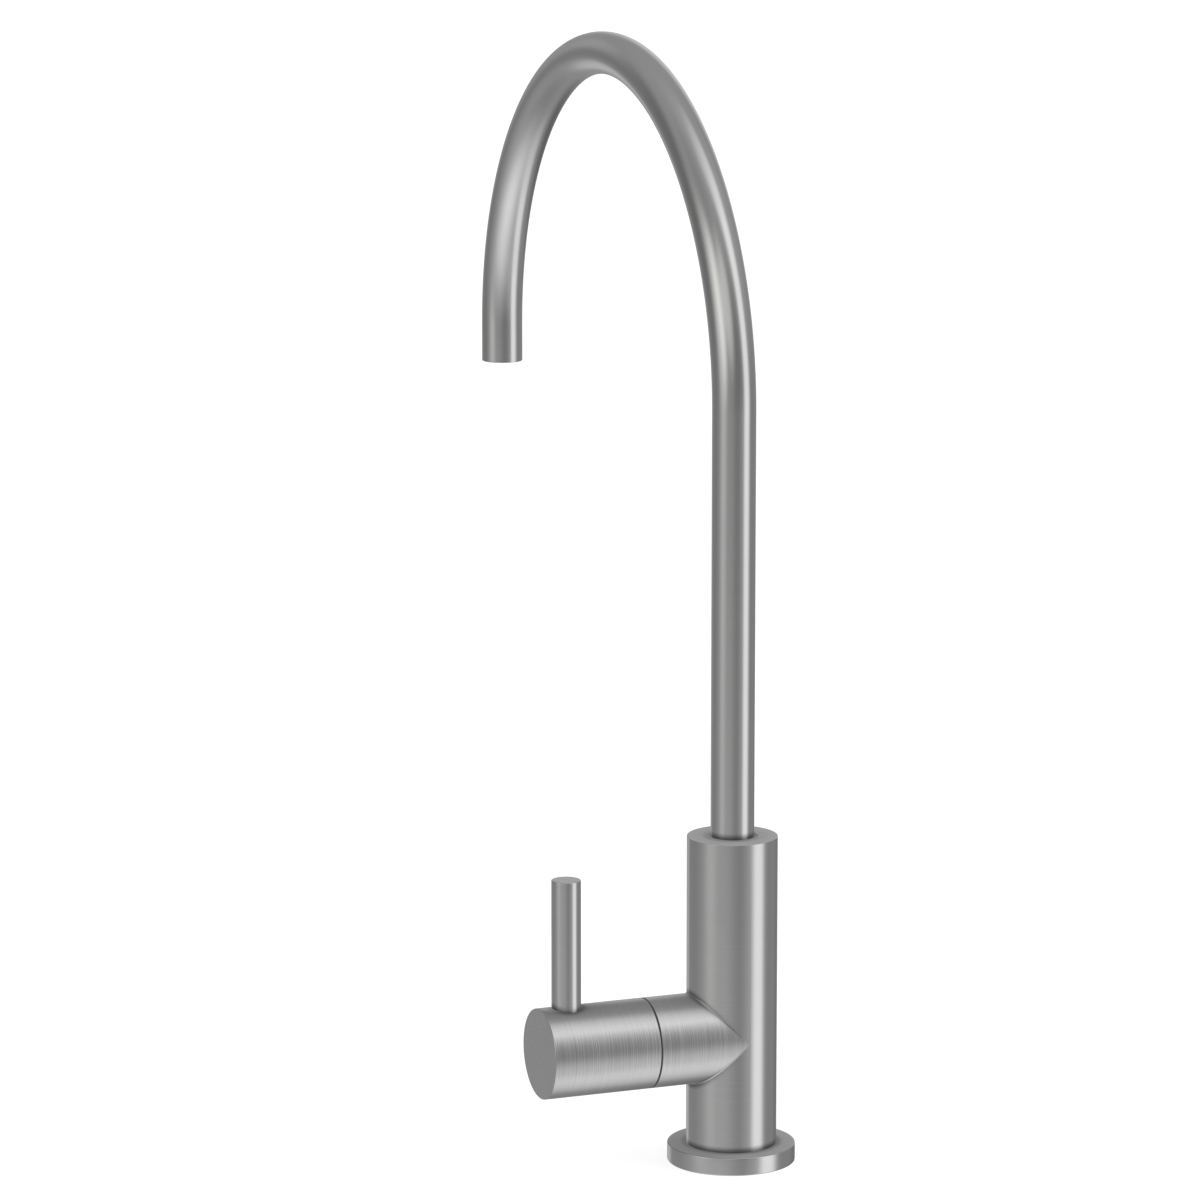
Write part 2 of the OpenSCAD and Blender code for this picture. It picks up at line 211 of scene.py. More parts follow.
def brushed(name, dark, light, along, end=None, blocked=0.24):
    """Metal brushed round an axis: along() gives the distance across the brush lines, and their depth.

    Past the end, an axis and a place on it, the faced metal is duller. Shade is painted into the colour:
    corners within a few millimetres of a neighbour are painted dark, and so are faces that look up or down
    past a neighbour, for its shade and its dark reflection; blocked is the share of open sky at which such
    a face is darkest.
    """
    material, start, (x, y, z) = new_material(name)
    line, depth = along(x, y, z)
    faced = 0.0
    if end:
        end_axis, end_place = end
        faced = (x, y, z)[end_axis] > end_place - 0.02 * MM
        depth = depth * (1 - 0.95 * faced)
    drift_per_m = 10
    fine_per_m = 9000
    streaks_per_m = 2600
    clouds_per_m = 90
    slow_x = x * drift_per_m
    slow_yz = (y + z) * drift_per_m
    fine = start.noise(slow_x, slow_yz, line * fine_per_m, 0.0)
    streak = start.noise(slow_x, slow_yz, line * streaks_per_m, 1.0)
    cloud = start.noise(x * clouds_per_m, y * clouds_per_m, z * clouds_per_m, 2.0)
    height = fine * (0.05 - 0.04 * faced + 0.4 * depth) + streak * (0.55 * depth)
    shade = 0.5 + (streak - 0.5) * depth * 0.7 + (cloud - 0.5) * 0.3
    # Painted shade: corners and crowded faces darken towards a quarter of the dark steel's colour.
    corner = tuple(0.25 * part for part in dark[:3]) + (1,)
    corner_shade_reach = 2 * MM
    neighbour_shade_reach = 35 * MM
    near, wide = (
        start.node("AmbientOcclusion", {"samples": 8}, {"Distance": reach}, output="AO")
        for reach in (corner_shade_reach, neighbour_shade_reach)
    )
    # Faces that look up or down also take the wide painted shade; the near one darkens every corner.
    normal_z = start.node("NewGeometry", output="Normal").split()[2]
    level = ramp(normal_z.math("ABSOLUTE"), 0.5, 0.85)
    unshaded_share = ramp(near, 0.66, 1.0) * (1 - level * (1 - ramp(wide, blocked, 1.0)))
    scratch = 0.022 * MM
    bump = start.node("Bump", None, {"Height": height, "Distance": scratch, "Strength": 1.0})
    surface(
        start,
        base_color=unshaded_share.mix(corner, shade.mix(dark, light)),
        metallic=1.0,
        roughness=0.15 + 0.05 * streak + 0.1 * faced,
        normal=bump,
    )
    return material


def round_z(x, y, z):
    """Brush lines round the Z axis, and turning lines on end faces."""
    return z + from_axis(x, y), 0.35


def dress(piece, material, slot, body, *nodes):
    """Gives a piece its finish, hides the CAD nodes that it stands for and puts it on its body.

    The pieces mirror the studio alone: satin metal blurs its neighbours, and the dark where they touch is
    painted shade in the metal's colour.
    """
    piece.visible_glossy = False
    piece.data.materials.clear()
    piece.data.materials.append(material)
    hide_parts(*nodes)
    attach(piece, body)


flange_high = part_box("base_flange")[1]
flange_r = flange_high.x
flange_t = flange_high.z
flange_bore_r = 10.55 * MM
groove_out_r = flange_r - 1.6 * MM
groove_in_r = groove_out_r - 2.4 * MM
groove_depth = 1.8 * MM
flange = turned(
    "base_flange_ring",
    [
        (flange_bore_r, 0),
        (groove_in_r, 0),
        (groove_in_r, groove_depth),
        (groove_out_r, groove_depth),
        (groove_out_r, 0),
        (flange_r, 0),
        (flange_r, flange_t),
        (flange_bore_r, flange_t),
    ],
    hollow=True,
)
break_edges(flange, 0.3 * MM)
flange_steel = brushed("steel_brushed_flange", STEEL_DARK, STEEL_LIGHT, round_z, (2, flange_t))
dress(flange, flange_steel, "brushed_steel", "tap_body", "base_flange")

# Flange gasket: a moulded rubber ring in the flange's groove, level with the underside. It keeps water
# from creeping under the flange, and its edges come round out of the mould.
gasket_low, gasket_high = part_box("flange_gasket")
gasket_bore_r = groove_in_r + 0.05 * MM


def ring(name, bore_r, outer_r, low, high):
    """A turned ring about Z with a square section."""
    section = [(bore_r, low), (outer_r, low), (outer_r, high), (bore_r, high)]
    return turned(name, section, hollow=True)


gasket = ring("gasket_ring", gasket_bore_r, gasket_high.x, gasket_low.z, gasket_high.z)
break_edges(gasket, 0.35 * MM)


def moulded(name, dark, light, roughness, grain, metallic=0.0):
    """A moulded or pressed material: fine even specks, so many to the metre, and a slow drift of shade."""
    material, start, (x, y, z) = new_material(name)
    speck = start.noise(x * grain, y * grain, z * grain, 3.0)
    clouds_per_m = 180
    cloud = start.noise(x * clouds_per_m, y * clouds_per_m, z * clouds_per_m, 2.0)
    pit = 0.004 * MM
    bump = start.node("Bump", None, {"Height": speck, "Distance": pit, "Strength": 0.6})
    surface(
        start,
        base_color=(speck * 0.4 + cloud * 0.6).mix(dark, light),
        roughness=roughness + 0.15 * cloud,
        metallic=metallic,
        normal=bump,
    )
    return material


rubber = moulded("black_rubber", (0.010, 0.010, 0.010, 1), (0.022, 0.022, 0.022, 1), 0.55, 5000)
dress(gasket, rubber, "rubber", "tap_body", "flange_gasket")

# Column: a turned stainless cylinder with a side branch of the same diameter, welded on for the valve.
# The two meet in a mitred seam with a small fillet, and three blind bores, with ducts between them,
# take the shank, the valve cartridge and the spout's swivel.
column_low, column_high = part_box("column")
column_r = -column_low.x
column_top = column_high.z
foot_z = column_low.z
foot_step = 2 * MM
port_r = 8.38 * MM
port_depth = 12 * MM
socket_r = 8 * MM
socket_depth = 30 * MM
branch_end = column_high.x
branch_z = next(j for j in frame["joints"] if j["name"] == "handle_turn")["pos_m"][2]
cartridge_bore_r = 9.05 * MM
valve_seat_x = 1.5 * MM
seam_fillet = 0.55 * MM
top_edge = 0.11 * MM
branch_edge = 0.066 * MM
NEAR = 0.001 * MM
ALONG_X = (0, math.pi / 2, 0)


def cylinder(sides, radius, length, middle, turn=(0, 0, 0)):
    """A closed cylinder at its size and place, about Z unless it is turned."""
    bpy.ops.object.select_all(action="DESELECT")
    bpy.ops.mesh.primitive_cylinder_add(
        vertices=sides, radius=radius, depth=length, location=middle, rotation=turn
    )
    bpy.ops.object.transform_apply(location=True, rotation=True, scale=True)
    return bpy.context.object


def pick(piece, kind, wanted):
    """In edit mode, selects the piece's faces or edges that wanted() accepts."""
    bpy.ops.mesh.select_mode(type=kind)
    bpy.ops.mesh.select_all(action="DESELECT")
    mesh = bmesh.from_edit_mesh(piece.data)
    for part in mesh.faces if kind == "FACE" else mesh.edges:
        if wanted(part):
            part.select_set(True)
    mesh.select_flush_mode()
    bmesh.update_edit_mesh(piece.data)


def end_face(axis, side):
    """Picks the end face that looks along an axis, on the given side."""
    return lambda face: len(face.verts) > 4 and side * face.normal[axis] > 0.9


def sink(width, depth):
    """Insets the selected face by a width and moves it by a depth vector, as a bore or a step."""
    bpy.ops.mesh.inset(thickness=width)
    bpy.ops.mesh.extrude_region_move(TRANSFORM_OT_translate={"value": depth})


def on_front_wall(face):
    """True for the upright faces on the branch's side of the column."""
    return face.calc_center_median().x > 0 and abs(face.normal.z) < 0.1


column_h = column_top - flange_t
column = cylinder(SIDES, column_r, column_h, (0, 0, flange_t + column_h / 2))
column.name = "column_and_branch"
bpy.ops.object.mode_set(mode="EDIT")
pick(column, "FACE", end_face(2, 1))
sink(column_r - socket_r, (0, 0, -socket_depth))
pick(column, "FACE", lambda face: face.normal.z < -0.9 and face.calc_center_median().z < branch_z)
sink(foot_step, (0, 0, foot_z - flange_t))
sink(column_r - foot_step - port_r, (0, 0, port_depth))
for tilt in (1, -1):
    pick(column, "FACE", on_front_wall)
    bpy.ops.mesh.bisect(plane_co=(0, 0, branch_z), plane_no=(1, 0, tilt))


def in_window(face):
    """True where the branch opens out of the column's wall."""
    centre = face.calc_center_median()
    on_wall = math.hypot(centre.x, centre.y) > column_r - foot_step / 2
    return on_wall and abs(face.normal.z) < 0.1 and centre.x > abs(centre.z - branch_z) + NEAR


pick(column, "FACE", in_window)
bpy.ops.mesh.delete(type="FACE")
bpy.ops.object.mode_set(mode="OBJECT")

branch = cylinder(SIDES, column_r, branch_end, (branch_end / 2, 0, branch_z), ALONG_X)
bpy.ops.object.mode_set(mode="EDIT")
for tilt in (1, -1):
    bpy.ops.mesh.select_all(action="SELECT")
    bpy.ops.mesh.bisect(plane_co=(0, 0, branch_z), plane_no=(1, 0, tilt), clear_inner=True)
pick(branch, "FACE", end_face(0, 1))
sink(column_r - cartridge_bore_r, (valve_seat_x - branch_end, 0, 0))
bpy.ops.object.mode_set(mode="OBJECT")
column.select_set(True)
bpy.context.view_layer.objects.active = column
bpy.ops.object.join()
bpy.ops.object.mode_set(mode="EDIT")
bpy.ops.mesh.select_all(action="SELECT")
bpy.ops.mesh.remove_doubles(threshold=NEAR)
bpy.ops.object.mode_set(mode="OBJECT")


def fillet_share(a, b):
    """Share of the fillet's width that an edge of the column gets. The seam's fillet narrows towards its
    tips, where the two cylinders become tangent, down to half; the outer rims are only broken."""
    mid = (a + b) / 2
    skin_r = column_r * 0.99
    on_column = math.hypot(mid.x, mid.y) > skin_r
    on_branch = math.hypot(mid.y, mid.z - branch_z) > skin_r
    on_seam = all(abs(p.x - abs(p.z - branch_z)) < NEAR and p.x > -NEAR for p in (a, b))
    if on_column and on_seam:
        tangent = min(1, (mid.y / column_r) ** 2)
        return max(0.5, math.tan(math.acos(tangent) / 2))
    if on_column and min(a.z, b.z) > column_top - NEAR:
        return top_edge / seam_fillet
    if on_branch and min(a.x, b.x) > branch_end - NEAR:
        return branch_edge / seam_fillet
    return 0


weights = column.data.attributes.new("bevel_weight_edge", "FLOAT", "EDGE")
corners = [v.co for v in column.data.vertices]
for edge in column.data.edges:
    first, second = edge.vertices
    weights.data[edge.index].value = fillet_share(corners[first], corners[second])
apply_modifier(
    column,
    "BEVEL",
    width=seam_fillet,
    segments=5,
    limit_method="WEIGHT",
    use_clamp_overlap=False,
)


def combine(piece, operation, tool):
    """Cuts away, keeps or adds what a tool object covers, then throws the tool away."""
    apply_modifier(piece, "BOOLEAN", operation=operation, solver="EXACT", object=tool)
    bpy.data.objects.remove(tool)
    bpy.ops.object.mode_set(mode="EDIT")
    bpy.ops.mesh.select_all(action="SELECT")
    bpy.ops.mesh.remove_doubles(threshold=NEAR)
    bpy.ops.mesh.dissolve_degenerate(threshold=NEAR)
    bpy.ops.object.mode_set(mode="OBJECT")


DRILL_SIDES = 96


def drill(piece, radius, place, depth, axis="Z"):
    """Bores a round hole into a piece, from a place along +Z or +X by a depth."""
    x, y, z = place
    if axis == "X":
        bit = cylinder(DRILL_SIDES, radius, depth, (x + depth / 2, y, z), ALONG_X)
    else:
        bit = cylinder(DRILL_SIDES, radius, depth, (x, y, z + depth / 2))
    combine(piece, "DIFFERENCE", bit)


OVERCUT = 0.2 * MM
riser_duct_r = 2.2 * MM
riser_duct_x = -3.2 * MM
riser_duct_z = foot_z + port_depth - OVERCUT
seat_duct_r = 3 * MM
outlet_duct_r = 2.4 * MM
outlet_duct_x = 2.4 * MM
outlet_duct_z = branch_z + cartridge_bore_r - MM
socket_floor = column_top - socket_depth
drill(column, riser_duct_r, (riser_duct_x, 0, riser_duct_z), branch_z - riser_duct_z)
drill(column, seat_duct_r, (riser_duct_x, 0, branch_z), valve_seat_x - riser_duct_x + OVERCUT, "X")
drill(
    column, outlet_duct_r, (outlet_duct_x, 0, outlet_duct_z), socket_floor - outlet_duct_z + OVERCUT
)
smooth(column)


def round_column(x, y, z):
    """Brush lines round the column, and deeper ones round the branch that stands out of it."""
    on_branch = x > (z - branch_z).math("ABSOLUTE")
    branch_line = x + from_axis(y, z - branch_z)
    column_line = z + from_axis(x, y)
    return on_branch * branch_line + (1 - on_branch) * column_line, 0.4 + 0.6 * on_branch


column_steel = brushed(
    "steel_brushed_column", STEEL_DARK, STEEL_LIGHT, round_column, (2, column_top), blocked=0.35
)
dress(column, column_steel, "brushed_steel", "tap_body", "column")

# Threaded shank: a brass tube with a pipe thread cut along it. It screws up into the column's foot and
# hangs through the deck; the thinner tail below takes the supply hose.
shank_low, shank_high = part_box("threaded_shank")
shank_r = shank_high.x
shank_thread_l = 42 * MM
shank_bore_r = 4 * MM
tail_r = 6.58 * MM
tail_overlap = 3 * MM
pipe_pitch = 1.337 * MM
pipe_thread_depth = 0.856 * MM
THREAD_STEPS = 48


def threaded_rod(crest_r, root_r, pitch, low, high):
    """A rod with a right-hand thread about Z: one pitch of its section, two flats and two flanks, is drawn
    point by point, screwed round the axis, cut off square at both heights and closed there."""
    below = 1.5 * pitch
    spare_turns = 3
    bpy.ops.object.select_all(action="DESELECT")
    bpy.ops.mesh.primitive_plane_add(size=pitch, location=(root_r, 0, low - below))
    rod = bpy.context.object
    bpy.ops.object.transform_apply(location=True, rotation=True, scale=True)
    bpy.ops.object.mode_set(mode="EDIT")
    bpy.ops.mesh.select_mode(type="VERT")
    bpy.ops.mesh.select_all(action="SELECT")
    bpy.ops.mesh.merge(type="CENTER")
    rise = crest_r - root_r
    for outward, upward in ((0, 1 / 6), (rise, 1 / 3), (0, 1 / 6), (-rise, 1 / 3)):
        move = (outward, 0, upward * pitch)
        bpy.ops.mesh.extrude_vertices_move(TRANSFORM_OT_translate={"value": move})
    bpy.ops.object.mode_set(mode="OBJECT")
    apply_modifier(
        rod,
        "SCREW",
        screw_offset=pitch,
        iterations=math.ceil((high - low) / pitch) + spare_turns,
        steps=THREAD_STEPS,
        render_steps=THREAD_STEPS,
    )
    bpy.ops.object.mode_set(mode="EDIT")
    bpy.ops.mesh.select_all(action="SELECT")
    bpy.ops.mesh.remove_doubles(threshold=NEAR)
    for height, side in ((low, -1), (high, 1)):
        bpy.ops.mesh.select_all(action="SELECT")
        bpy.ops.mesh.bisect(plane_co=(0, 0, height), plane_no=(0, 0, side), clear_outer=True)
    bpy.ops.mesh.select_all(action="DESELECT")
    bpy.ops.mesh.select_non_manifold()
    bpy.ops.mesh.fill_holes(sides=0)
    bpy.ops.mesh.select_all(action="SELECT")
    bpy.ops.mesh.normals_make_consistent(inside=False)
    bpy.ops.object.mode_set(mode="OBJECT")
    return rod


def threaded_bar(name, radius, thread_depth, pitch, low, high):
    """A bar with a thread cut all along it, and its ends chamfered to the thread's depth."""
    slope = thread_depth + OVERCUT
    bar = turned(
        name,
        [
            (radius - thread_depth, low),
            (radius + OVERCUT, low + slope),
            (radius + OVERCUT, high - slope),
            (radius - thread_depth, high),
        ],
        hollow=False,
        sides=THREAD_STEPS,
    )
    thread = threaded_rod(radius, radius - thread_depth, pitch, low - OVERCUT, high + OVERCUT)
    combine(bar, "INTERSECT", thread)
    return bar


shank = threaded_bar(
    "shank_tube", shank_r, pipe_thread_depth, pipe_pitch, -shank_thread_l, shank_high.z
)
tail = threaded_bar(
    "shank_tail", tail_r, pipe_thread_depth, pipe_pitch, shank_low.z, tail_overlap - shank_thread_l
)
combine(shank, "UNION", tail)
drill(shank, shank_bore_r, (0, 0, shank_low.z - OVERCUT), shank_high.z - shank_low.z + 2 * OVERCUT)
smooth(shank)
BRASS_DARK = (0.60, 0.43, 0.19, 1)
BRASS_LIGHT = (0.72, 0.54, 0.27, 1)
brass = brushed("brass_turned_round_z", BRASS_DARK, BRASS_LIGHT, round_z)
dress(shank, brass, "brass", "tap_body", "threaded_shank")

# Deck washers: a rubber one that takes up the deck's unevenness and a punched steel one that spreads
# the nut's load. Both slide freely on the shank until the nut draws them up.
bright_steel = moulded(
    "bright_steel", (0.60, 0.60, 0.60, 1), (0.68, 0.68, 0.67, 1), 0.25, 2500, metallic=1.0
)
washer_hole_r = shank_r + 0.3 * MM
for node, name, edge, finish, slot in (
    ("rubber_deck_washer", "rubber_washer", 0.4 * MM, rubber, "rubber"),
    ("steel_clamp_washer", "steel_washer", 0.25 * MM, bright_steel, "bright_steel"),
):
    washer_low, washer_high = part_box(node)
    washer = ring(name, washer_hole_r, washer_high.x, washer_low.z, washer_high.z)
    break_edges(washer, edge)
    dress(washer, finish, slot, "deck_clamp", node)

# Clamp nut: sawn from hexagonal brass bar, with its corners turned off at both faces, a countersink at
# each mouth and a pipe thread that runs on the shank's.
nut_low, nut_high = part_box("clamp_nut")
nut_corner_r = nut_high.x
nut_flat_r = nut_high.y
nut_h = nut_high.z - nut_low.z
nut_middle = (nut_low.z + nut_high.z) / 2
corner_drop = (nut_corner_r - nut_flat_r) * math.tan(math.radians(30))
nut_bore_r = shank_r + 0.05 * MM
nut_mouth_r = nut_bore_r + pipe_thread_depth
countersink = pipe_thread_depth + 2 * OVERCUT
CORNERS_ON_X = (0, 0, math.pi / 6)
nut = cylinder(6, nut_corner_r, nut_h, (0, 0, nut_middle), CORNERS_ON_X)
nut.name = "hexagon_nut"
turned_corners = turned(
    "turned_corners",
    [
        (nut_flat_r, nut_low.z - OVERCUT),
        (nut_flat_r, nut_low.z),
        (nut_corner_r + OVERCUT, nut_low.z + corner_drop),
        (nut_corner_r + OVERCUT, nut_high.z - corner_drop),
        (nut_flat_r, nut_high.z),
        (nut_flat_r, nut_high.z + OVERCUT),
    ],
    hollow=False,
)
combine(nut, "INTERSECT", turned_corners)
mouths = turned(
    "mouths",
    [
        (nut_mouth_r + OVERCUT, nut_low.z - OVERCUT),
        (nut_bore_r - OVERCUT, nut_low.z + countersink - OVERCUT),
        (nut_bore_r - OVERCUT, nut_high.z - countersink + OVERCUT),
        (nut_mouth_r + OVERCUT, nut_high.z + OVERCUT),
    ],
    hollow=False,
)
combine(nut, "DIFFERENCE", mouths)
tap = threaded_rod(nut_mouth_r, nut_bore_r, pipe_pitch, nut_low.z - MM, nut_high.z + MM)
combine(nut, "DIFFERENCE", tap)
smooth(nut)
dress(nut, brass, "brass", "deck_clamp", "clamp_nut")

# Handle glide ring: a thin black acetal washer that the handle turns against. It lies back in the
# gap between the branch and the hub, where it reads as a dark line.
glide_low, glide_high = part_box("handle_glide_ring")
glide_r = glide_high.y
glide_w = 1.6 * MM


def settle(piece, place, turn=(0, 0, 0)):
    """Turns and moves a piece that was made about Z, and leaves its place in its mesh."""
    select_only(piece)
    piece.rotation_euler = turn
    piece.location = place
    bpy.ops.object.transform_apply(location=True, rotation=True, scale=True)


def lay_on_branch(piece):
    """Puts a piece on the branch's axis, with its foot towards the column."""
    settle(piece, (0, 0, branch_z), ALONG_X)


glide = ring("glide_ring", glide_r - glide_w, glide_r, glide_low.x, glide_high.x)
lay_on_branch(glide)
break_edges(glide, 0.05 * MM)
black_acetal = moulded("black_acetal", (0.012, 0.012, 0.012, 1), (0.03, 0.03, 0.03, 1), 0.35, 4000)
dress(glide, black_acetal, "black_plastic", "tap_body", "handle_glide_ring")

# Handle hub: a turned stainless bar of the branch's own diameter, hollow over the cartridge's nose.
# It is pressed on the spindle's splines, pinned by a grub screw below, and drilled above for the lever.
hub_low, hub_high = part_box("handle_hub")
hub_r = column_r
hub_hollow_r = 10 * MM
hub_hollow_depth = 3.8 * MM
hub = turned(
    "hub_bar",
    [
        (hub_hollow_r, hub_low.x + hub_hollow_depth),
        (hub_hollow_r, hub_low.x),
        (hub_r, hub_low.x),
        (hub_r, hub_high.x),
    ],
    hollow=False,
)
lay_on_branch(hub)
break_edges(hub, 0.2 * MM)

spline_n = 20
spline_tip_r = 3.85 * MM
spline_root_r = 3.35 * MM
spline_l = 11 * MM
POINTS_PER_SPLINE = 4
spline_depth = hub_hollow_depth + spline_l
broach_middle = (0, 0, hub_low.x + spline_depth / 2)
broach = cylinder(spline_n * POINTS_PER_SPLINE, spline_tip_r, spline_depth, broach_middle)
bpy.ops.object.mode_set(mode="EDIT")


def in_spline_gap(edge):
    """True for the lengthwise edges of the broach that lie between two splines."""
    a, b = (v.co for v in edge.verts)
    place = math.atan2(a.y, a.x) / math.tau * spline_n * POINTS_PER_SPLINE
    return abs(a.z - b.z) > MM and round(place) % POINTS_PER_SPLINE < 2


pick(broach, "EDGE", in_spline_gap)
root_share = spline_root_r / spline_tip_r
bpy.ops.transform.resize(value=(root_share, root_share, 1), center_override=(0, 0, 0))
bpy.ops.object.mode_set(mode="OBJECT")
lay_on_branch(broach)
combine(hub, "DIFFERENCE", broach)

lever_low, lever_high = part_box("lever_pin")
lever_r = (lever_high.x - lever_low.x) / 2
lever_x = (lever_high.x + lever_low.x) / 2
stud_l = 8 * MM
stud_r = 2.45 * MM
lever_seat_z = lever_low.z + stud_l
FIT = 0.05 * MM
grub_low, grub_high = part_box("hub_grub_screw")
grub_x = (grub_low.x + grub_high.x) / 2
grub_r = (grub_high.x - grub_low.x) / 2
drill(hub, lever_r + FIT, (lever_x, 0, lever_seat_z), hub_r)
drill(hub, stud_r + FIT, (lever_x, 0, lever_low.z), stud_l + FIT)
drill(hub, grub_r + FIT, (grub_x, 0, branch_z - hub_r - FIT), hub_r)
smooth(hub)


def round_x(x, y, z):
    """Brush lines round the branch's axis, and turning lines on end faces."""
    return x + from_axis(y, z - branch_z), 1.2


# The hub's up and down faces take a deeper painted shade, for the lever and the column that block their
# sky.
hub_steel = brushed(
    "steel_brushed_hub", STEEL_DARK, STEEL_LIGHT, round_x, (0, hub_high.x), blocked=0.6
)
dress(hub, hub_steel, "brushed_steel", "handle", "handle_hub")

# Grub screw: a headless steel screw in the hub's underside, threaded all along, with a hexagon socket
# for its key. It bears on the spindle and pins the hub.
grub_pitch = 0.7 * MM
grub_thread_depth = 0.43 * MM
grub_key_flat_r = 1 * MM
grub_key_r = grub_key_flat_r / math.cos(math.pi / 6)
grub_key_depth = 3 * MM
grub = threaded_bar(
    "socket_grub_screw", grub_r, grub_thread_depth, grub_pitch, grub_low.z, grub_high.z
)
key_hole = cylinder(6, grub_key_r, 2 * grub_key_depth, (0, 0, grub_low.z), CORNERS_ON_X)
combine(grub, "DIFFERENCE", key_hole)
bpy.ops.object.mode_set(mode="EDIT")
bpy.ops.mesh.select_all(action="SELECT")
bpy.ops.mesh.quads_convert_to_tris(quad_method="BEAUTY", ngon_method="BEAUTY")
bpy.ops.object.mode_set(mode="OBJECT")
settle(grub, (grub_x, 0, 0))
smooth(grub)
dress(grub, bright_steel, "bright_steel", "handle", "hub_grub_screw")

# Lever pin: a plain stainless rod, brushed round its axis. Its lower end is turned down to a threaded
# stud that screws into the hub, and its shoulder beds in the seat milled there.
lever = turned(
    "lever_rod",
    [
        (stud_r, lever_low.z),
        (stud_r, lever_seat_z),
        (lever_r, lever_seat_z),
        (lever_r, lever_high.z),
    ],
    hollow=False,
)
settle(lever, (lever_x, 0, 0))
break_edges(lever, 0.3 * MM)


def round_lever(x, y, z):
    """Brush lines round the lever."""
    return z + from_axis(x - lever_x, y), 0.3


lever_steel = brushed(
    "steel_brushed_lever", STEEL_DARK, STEEL_LIGHT, round_lever, (2, lever_high.z)
)
dress(lever, lever_steel, "brushed_steel", "handle", "lever_pin")

# Gland ring: a stainless ring that closes the swivel's socket flush with the column's top and keeps
# the spout from lifting out.
gland_low, gland_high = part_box("spout_gland_ring")
gland_bore_r = 6.16 * MM
gland = ring("gland_ring", gland_bore_r, gland_high.x, gland_low.z, gland_high.z)
break_edges(gland, 0.04 * MM)
gland_steel = brushed(
    "steel_brushed_gland", STEEL_DARK, STEEL_LIGHT, round_z, (2, gland_high.z), blocked=0.35
)
dress(gland, gland_steel, "brushed_steel", "tap_body", "spout_gland_ring")

# Spout tube: one length of thin stainless tube, bent in a half circle and brushed round the tube.
# Its foot is brazed in the swivel's stem; the outlet is cut square with the rim broken.
tube_low, tube_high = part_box("spout_tube")
tube_r = tube_high.x
tube_wall = 1 * MM
bend_r = (tube_high.y - tube_low.y - 2 * tube_r) / 2
bend_z = tube_high.z - bend_r - tube_r
outlet_drop = 11.4 * MM
BEND_STEPS = 144
TUBE_SIDES = 96
bpy.ops.object.select_all(action="DESELECT")
bpy.ops.mesh.primitive_circle_add(vertices=TUBE_SIDES, radius=tube_r, location=(0, 0, tube_low.z))
tube = bpy.context.object
tube.name = "gooseneck_tube"
bpy.ops.object.transform_apply(location=True, rotation=True, scale=True)
bpy.ops.object.mode_set(mode="EDIT")
bpy.ops.mesh.select_all(action="SELECT")
bpy.ops.mesh.extrude_edges_move(TRANSFORM_OT_translate={"value": (0, 0, bend_z - tube_low.z)})
bpy.ops.mesh.spin(steps=BEND_STEPS, angle=-math.pi, center=(0, -bend_r, bend_z), axis=(1, 0, 0))
bpy.ops.mesh.extrude_edges_move(TRANSFORM_OT_translate={"value": (0, 0, -outlet_drop)})
bpy.ops.mesh.select_all(action="SELECT")
bpy.ops.mesh.remove_doubles(threshold=NEAR)
bpy.ops.mesh.normals_make_consistent(inside=False)
bpy.ops.object.mode_set(mode="OBJECT")
apply_modifier(tube, "SOLIDIFY", thickness=tube_wall, offset=-1, use_even_offset=True)
break_edges(tube, 0.2 * MM)


def round_tube(x, y, z):
    """Brush lines round the tube: distance along the riser, the bend and the drop."""
    above = z - bend_z
    behind = y + bend_r
    turn = above.math("MAXIMUM", 0.0).math("ARCTAN2", behind)
    return turn * bend_r + above.math("MINIMUM", 0.0) * behind.math("SIGN"), 0.12


tube_steel = brushed("steel_brushed_tube", STEEL_DARK, STEEL_LIGHT, round_tube)
dress(tube, tube_steel, "brushed_steel", "spout", "spout_tube")

# Flow straightener: a moulded white acetal plug pressed just inside the outlet. Its holes lie in rings
# round a middle one and calm the water into a clear stream.
plug_low, plug_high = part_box("flow_straightener")
plug_r = (plug_high.x - plug_low.x) / 2
plug_y = (plug_low.y + plug_high.y) / 2
plug_hole_r = 0.7 * MM
plug_rim = 0.4 * MM
plug_rows = 2
holes_in_first_row = 6
row_pitch = (plug_r - plug_rim - plug_hole_r) / plug_rows
plug_h = plug_high.z - plug_low.z
plug = turned("outlet_plug", [(plug_r, plug_low.z), (plug_r, plug_high.z)], hollow=False)
plug_middle = (plug_low.z + plug_high.z) / 2
pin_sizes = {"vertices": 32, "radius": plug_hole_r, "depth": plug_h + 2 * OVERCUT}
bpy.ops.object.select_all(action="DESELECT")
bpy.ops.mesh.primitive_cylinder_add(location=(0, 0, plug_middle), **pin_sizes)
pins = bpy.context.object
bpy.ops.object.mode_set(mode="EDIT")
for row in range(1, plug_rows + 1):
    reach = row * row_pitch
    holes = holes_in_first_row * row
    for hole in range(holes):
        angle = math.tau * hole / holes
        place = (reach * math.cos(angle), reach * math.sin(angle), plug_middle)
        bpy.ops.mesh.primitive_cylinder_add(location=place, **pin_sizes)
bpy.ops.object.mode_set(mode="OBJECT")
combine(plug, "DIFFERENCE", pins)
settle(plug, (0, plug_y, 0))
break_edges(plug, 0.08 * MM)
white_acetal = moulded("white_acetal", (0.74, 0.73, 0.70, 1), (0.82, 0.81, 0.78, 1), 0.35, 3500)
dress(plug, white_acetal, "white_plastic", "spout", "flow_straightener")

